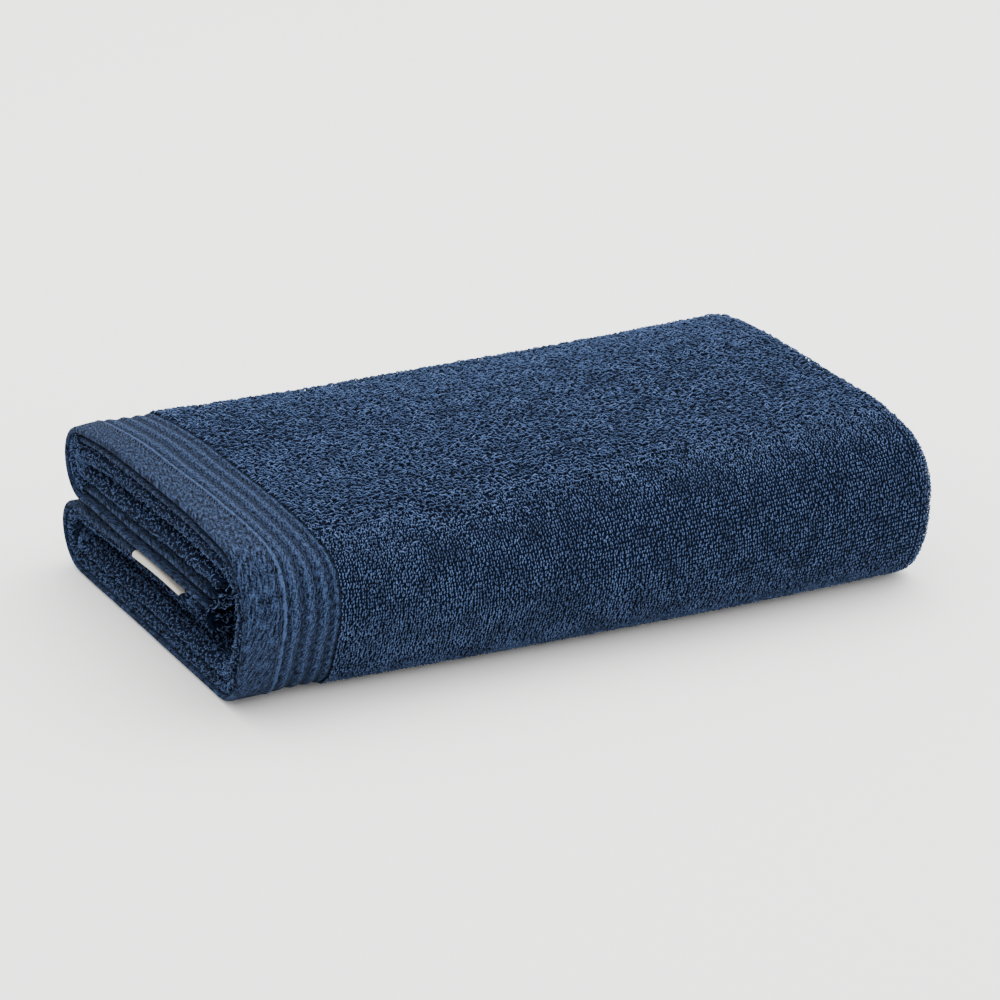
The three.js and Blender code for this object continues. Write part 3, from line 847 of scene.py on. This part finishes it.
INNER_FOLD_RADIUS = PLY_PITCH / 2 + TERRY_THICKNESS / 2 - PILE_SHARE
INNER_FOLD_DEPTH = TERRY_THICKNESS / 2 + (PLY_COUNT - 1.5) * PLY_PITCH
INNER_FOLD_SWEEP = 0.62 * math.pi
SECOND_HEM_SWEEP = 0.45 * math.pi
SECOND_HEM_INSET = 1.0


def inner_fold_line(pitch):
    """The ground's face round the fold of the two inner plies at the hem end."""
    radius = INNER_FOLD_RADIUS
    angle = np.arange(-INNER_FOLD_SWEEP, INNER_FOLD_SWEEP, pitch / radius)
    depth = INNER_FOLD_DEPTH - radius * np.sin(angle)
    return INNER_FOLD_X - radius * np.cos(angle), depth, -np.cos(angle), -np.sin(angle)


def second_hem_line(pitch):
    """The rim of the second hem where it is hidden by pile, with its outward direction."""
    angle = np.arange(-SECOND_HEM_SWEEP, SECOND_HEM_SWEEP, pitch / (HEM_THICKNESS / 2))
    depth = TERRY_THICKNESS / 2 + PLY_PITCH + HEM_THICKNESS / 2 * np.sin(angle)
    return HEM_END + SECOND_HEM_INSET - np.cos(angle), depth, -np.cos(angle), np.sin(angle)


def cavity_line(pitch, reach):
    """The ground's inner face of the innermost ply, as far as one can see in from the hem end."""
    x = np.arange(INNER_FOLD_X, HEM_END + reach, pitch)
    return x, np.full_like(x, INNER_FOLD_DEPTH + INNER_FOLD_RADIUS), np.zeros_like(x), np.ones_like(x)


def end_cavity_line(pitch, reach):
    """The ground's inner face of the innermost ply, as far as one can see in from the folded end."""
    x = np.arange(TURN_X - reach, TURN_X, pitch)
    return x, np.full_like(x, STACK - PILE_SHARE), np.zeros_like(x), np.ones_like(x)


# Rows of loops on the long edges, in mm from the middle of a ply, and how far they go from the ends
SELVEDGE_ROWS = (-1.4, 0.0, 1.4)
SELVEDGE_AT_HEMS = {"from": 4.0, "to": 50.0, "pitch": 1.6}
SELVEDGE_AT_FOLD = {"from": 40.0, "pitch": 2.0}
NEAR_TIP = 0.98


def selvedge_roots():
    """Points on the long edges of all four plies near both ends, where they can be seen."""
    points, up = [], []
    at_hems = np.arange(
        HEM_END + SELVEDGE_AT_HEMS["from"], HEM_END + SELVEDGE_AT_HEMS["to"], SELVEDGE_AT_HEMS["pitch"])
    at_fold = np.arange(TURN_X - SELVEDGE_AT_FOLD["from"], TURN_X, SELVEDGE_AT_FOLD["pitch"])
    x = np.concatenate([at_hems, at_fold])
    for flap_side, ply, off in itertools.product(FLAPS, range(PLY_COUNT), SELVEDGE_ROWS):
        here = x if ply < 2 else x[x > INNER_FOLD_X]
        depth = np.full_like(here, TERRY_THICKNESS / 2 + ply * PLY_PITCH + off)
        tip = place(here, depth, {"zone": "flap", "side": flap_side, "share": 1.0})
        before = place(here, depth, {"zone": "flap", "side": flap_side, "share": NEAR_TIP})
        points.append(tip)
        up.append(unit(tip - before))
    points, up = np.concatenate(points), np.concatenate(up)
    side = np.tile([1.0, 0.0, 0.0], (len(points), 1))
    return to_metres(points), up, side


# Combed cotton yarn of the loops: matt, with a soft halo of fibres. Its dye varies a little from loop
# to loop, on top of painted light and shade that each kind of loop carries. Loops carry painted shade
# at the root, lighter toward the crown, and patches some 12 mm wide look lighter than the rest. Fibres
# are really 0.02 mm thick, and are drawn as tufts of 0.7 mm, to show
YARN_COLOURS = ("#03050b", "#4a5e85")
PATCH_WIDTH = 0.012
FIBRE_TUFT = 0.000714
loop_yarn = new_material("combed cotton loop yarn")
tree = loop_yarn.node_tree
tint_and_painted_light = add(tree, "ShaderNodeAttribute", attribute_name="tint_and_painted_light")
rise_up_loop = add(tree, "ShaderNodeAttribute", attribute_name="rise")
# Dye patches plus each loop's tint, which carries its kind's painted light and shade
blend = add(tree, "ShaderNodeMath", {
    0: pattern(tree, PATCH_WIDTH), 1: 2.2, 2: tint_and_painted_light.outputs["Fac"]}, operation="MULTIPLY_ADD")
dye_and_painted_light = add(tree, "ShaderNodeMapRange", {
    "Value": blend, "From Min": 0.8, "From Max": 2.4, "To Min": 0.32, "To Max": 1.0})
# Painted shade: each loop darkens toward its root and is lightest at its crown
painted_shade_and_wear = add(tree, "ShaderNodeMapRange", {"Value": rise_up_loop.outputs["Fac"], "From Min": 0.28})
shade = add(tree, "ShaderNodeMath", {0: dye_and_painted_light, 1: painted_shade_and_wear}, operation="MULTIPLY")
finish_material(tree, {
    "Base Color": mix_colours(tree, shade, YARN_COLOURS), "Roughness": 0.95,
    "Specular IOR Level": 0.05, "Sheen Weight": 0.02, "Sheen Roughness": 0.6,
    "Normal": relief(tree, pattern(tree, FIBRE_TUFT), 0.4, 0.0003)})

loops_tree = loop_nodes()

# Kinds of loops, with sizes in metres and turns in radians: in rows on the front, lying every way on
# the top, pressed flat on the back folds, loose inside the folds, and brushed up on the selvedges. Their
# painted lightness is painted light: painted shade on the front's standing loops, painted light on the
# loops inside the shaded folds and on the selvedges at the hem end
STANDING = {
    "Loop height": 0.0014, "Loop length": 0.00142, "Yarn width": 0.00066, "Turn": 1.3, "Turn spread": 0.35,
    "Lean spread": 0.3, "Size spread": 0.2, "Paleness": -0.17, "Seed": 7, "Material": loop_yarn}
TUMBLED = {
    "Loop height": 0.0015, "Loop length": 0.0025, "Yarn width": 0.00085, "Turn": -0.35, "Turn spread": 0.9,
    "Lean spread": 0.55, "Size spread": 0.25, "Paleness": 0.05, "Seed": 8, "Material": loop_yarn}
FLATTENED = {**TUMBLED, "Loop height": 0.0012, "Loop length": 0.0029, "Yarn width": 0.001, "Seed": 10}
RUFFLED = {
    "Loop height": 0.0017, "Loop length": 0.0017, "Yarn width": 0.00052, "Turn": 0.0, "Turn spread": 1.5,
    "Lean spread": 0.7, "Size spread": 0.25, "Paleness": 0.3, "Seed": 9, "Material": loop_yarn}
BRUSHED = {**RUFFLED, "Loop height": 0.0024, "Loop length": 0.0024, "Yarn width": 0.0007, "Paleness": 1.0}


def rows_of(names, pitch):
    """Stations along several rows of the face."""
    return [station for name in names for station in stations_of(name, pitch)]


def both_sides(make_stations, pitch):
    """Stations on the upper and the lower flap or back fold."""
    return make_stations("upper", pitch) + make_stations("lower", pitch)


# Halfway up the front the standing loops give way to the tumbled ones
MIX_START = 0.45
MIX_SPAN = 0.5
THINNING_SEED = 5


def thinned(roots, station_count, kept):
    """The roots that are kept: a share that changes from the first station to the last."""
    position = np.repeat((np.arange(station_count) + 0.5) / station_count, len(roots[0]) // station_count)
    share = kept[0] + (kept[1] - kept[0]) * ease((position - MIX_START) / MIX_SPAN)
    chosen = np.random.default_rng(THINNING_SEED).random(len(position)) < share
    return [values[chosen] for values in roots]


# Where each part of the pile stands: its line along the cloth, its rows across and its kind of loop.
# Pitches are in mm, along the cloth and across it
fine_along, fine_across = 1.5, 2.05
open_along, open_across = 1.8, 2.5
fine_line, open_line = outer_line(fine_along), outer_line(open_along)
underside = ("underside back", "underside front")
up_the_front = ("lower bend", "front face", "upper bend")
mixed_rows = ("upper bend", "shoulder")
every_row = both_sides(flap_stations, 2.1) + both_sides(lobe_stations, 2.1) + rows_of(ROW_NAMES, 2.1)
second_hem_rows = both_sides(lobe_stations, 1.7) + flap_stations("lower", 1.7)
second_hem_rows += rows_of((*underside, "lower bend"), 1.7)
cavity_rows = rows_of(("underside front", *up_the_front), 2.2)
end_cavity_rows = rows_of((*underside, *up_the_front), 2.7)
fold_end_low = fold_end_line(open_along, UNDERSIDE_START)
pile_parts = {
    "pile_front_low": (fine_line, rows_of(("lower bend", "front face"), fine_across), STANDING),
    "pile_front_high": (fine_line, rows_of(mixed_rows, fine_across), STANDING),
    "pile_shoulder": (open_line, rows_of(mixed_rows, open_across), TUMBLED),
    "pile_top_front": (open_line, rows_of(("top front",), open_across), TUMBLED),
    "pile_top_back": (open_line, rows_of(("top back",), open_across), TUMBLED),
    "pile_back_folds": (outer_line(2.4), both_sides(lobe_stations, 3.2), FLATTENED),
    "pile_fold_end": (fold_end_line(open_along), both_sides(flap_stations, open_across), TUMBLED),
    "pile_fold_end_low": (fold_end_low, rows_of(underside, open_across), TUMBLED),
    "pile_inner_fold": (inner_fold_line(1.7), every_row, RUFFLED),
    "pile_second_hem": (second_hem_line(1.3), second_hem_rows, RUFFLED),
    "pile_cavity": (cavity_line(2.0, reach=50.0), cavity_rows, RUFFLED),
    "pile_cavity_back": (cavity_line(1.9, reach=26.0), rows_of(("underside back",), 2.1), RUFFLED),
    "pile_end_cavity": (end_cavity_line(2.2, reach=36.0), end_cavity_rows, RUFFLED),
}
# The share of loops at a part's first row and at its last, where it isn't all of them
KEPT = {"pile_front_high": (1.4, 0), "pile_shoulder": (0, 1.4)}

ROW_JITTER = 0.3
LOOSE_JITTER = 0.7
grown = {}
for name, (line, line_stations, loop_kind) in pile_parts.items():
    roots = roots_on(line, line_stations, jitter=ROW_JITTER if loop_kind is STANDING else LOOSE_JITTER)
    grown[name] = (*thinned(roots, len(line_stations), KEPT.get(name, (1, 1))), loop_kind)
grown["pile_selvedges"] = (*selvedge_roots(), BRUSHED)

# A loop hangs down from its root by up to 1.6 times its height. One that would dip into the floor
# is left out
HANG = 1.6
FLOOR_CLEARANCE = 0.0002
for name, (points, up, side, loop_kind) in grown.items():
    crown_height = points[:, 2] + up[:, 2] * HANG * loop_kind["Loop height"]
    clear = crown_height > FLOOR_CLEARANCE
    piece = stand_on_points(name, loops_tree, points[clear], up[clear], side[clear], loop_kind)
    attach(piece, "root")


# Hem stitching
# A row of lockstitch runs across each hem near its inner edge and holds the turned cloth down.
# Its thread is dark blue polyester, slightly smoother than the cotton, and its stitches pull
# a shallow dent into the hem.
STITCH_LENGTH = 2.9
STITCH_COLOUR = "#1b2740"
STITCH_PROUD = 0.05
stitch_thread = new_material("polyester stitching thread")
finish_material(stitch_thread.node_tree, {
    "Base Color": linear(STITCH_COLOUR), "Roughness": 0.6, "Specular IOR Level": 0.3})
stitch_stations = []
for flap_side in ("lower", "upper"):
    stitch_stations += flap_stations(flap_side, STITCH_LENGTH) + lobe_stations(flap_side, STITCH_LENGTH)
for row_name in ROW_NAMES:
    stitch_stations += stations_of(row_name, STITCH_LENGTH)
stitch_place = np.array([STITCH_ROW])
stitch_depth = TERRY_THICKNESS / 2 + sink_at(stitch_place) - half_thickness(stitch_place) - STITCH_PROUD
stitch_line = (HEM_END + stitch_place, stitch_depth, np.zeros(1), np.full(1, -1.0))
points, up, side = roots_on(stitch_line, stitch_stations)
STITCHES = {
    "Loop height": 0.00035, "Loop length": 0.0025, "Yarn width": 0.0005, "Turn": math.pi / 2,
    "Turn spread": 0.05, "Lean spread": 0.03, "Size spread": 0.05, "Paleness": 0.0, "Seed": 3,
    "Material": stitch_thread}
stitching = stand_on_points("hem_stitching", loops_tree, points, up, side, STITCHES)
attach(stitching, "root")


# Woven label
# A blank ivory ribbon of fine polyester, sewn to the hem beside its corner. It lies between the two
# flaps, bends down over the rim of the lower one and hides it there.
LABEL = {
    "length": 57.0, "flat": 20.0, "bend at tip": 60.0, "bend at far end": 118.0, "thickness": 0.4,
    "clearance": 0.25}
LABEL_STEPS = 30
LABEL_FLAT_STEPS = 8
LABEL_BEND_STEPS = 12


def ribbon_side(radius, degrees):
    """One side of the bent ribbon seen from the flap's tip, from the middle of the rim."""
    angles = np.radians(np.linspace(0, degrees, LABEL_BEND_STEPS + 1))
    flat = np.linspace(LABEL["flat"], HEM_THICKNESS / 2, LABEL_FLAT_STEPS, endpoint=False)
    x = np.concatenate([flat, HEM_THICKNESS / 2 - radius * np.sin(angles)])
    rise = np.concatenate([np.full_like(flat, radius), radius * np.cos(angles)])
    return np.stack([x, np.zeros_like(x), rise], axis=1)


inner_radius = HEM_THICKNESS / 2 + LABEL["clearance"]
label_rings = []
for i in range(LABEL_STEPS + 1):
    share = 1 - LABEL["length"] * i / LABEL_STEPS / FLAPS["lower"]["length"]
    station = {"zone": "flap", "side": "lower", "share": share}
    seat = place(np.array([HEM_END]), np.array([TERRY_THICKNESS / 2]), station)[0]
    degrees = LABEL["bend at tip"] + (LABEL["bend at far end"] - LABEL["bend at tip"]) * i / LABEL_STEPS
    inner_side = ribbon_side(inner_radius, degrees)
    outer_side = ribbon_side(inner_radius + LABEL["thickness"], degrees)
    label_rings.append(seat + np.concatenate([inner_side, outer_side[::-1]]))
label_faces = swept_faces(len(label_rings[0]), len(label_rings))
label = mesh_object("label", to_metres(np.concatenate(label_rings)), label_faces)

# Fine polyester ribbon: satin, off-white, with a faint grain of its picks. They are really 0.1 mm
# apart, and drawn ten times as coarse, to show
RIBBON_COLOUR = "#aea99d"
PICK_SPACING = 0.00111
ribbon = new_material("satin-woven polyester ribbon")
tree = ribbon.node_tree
finish_material(tree, {
    "Base Color": linear(RIBBON_COLOUR), "Roughness": 0.6,
    "Normal": relief(tree, pattern(tree, PICK_SPACING), 0.3, 0.0002)})
label.data.materials.append(ribbon)
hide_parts("woven_label")
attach(label, "root")
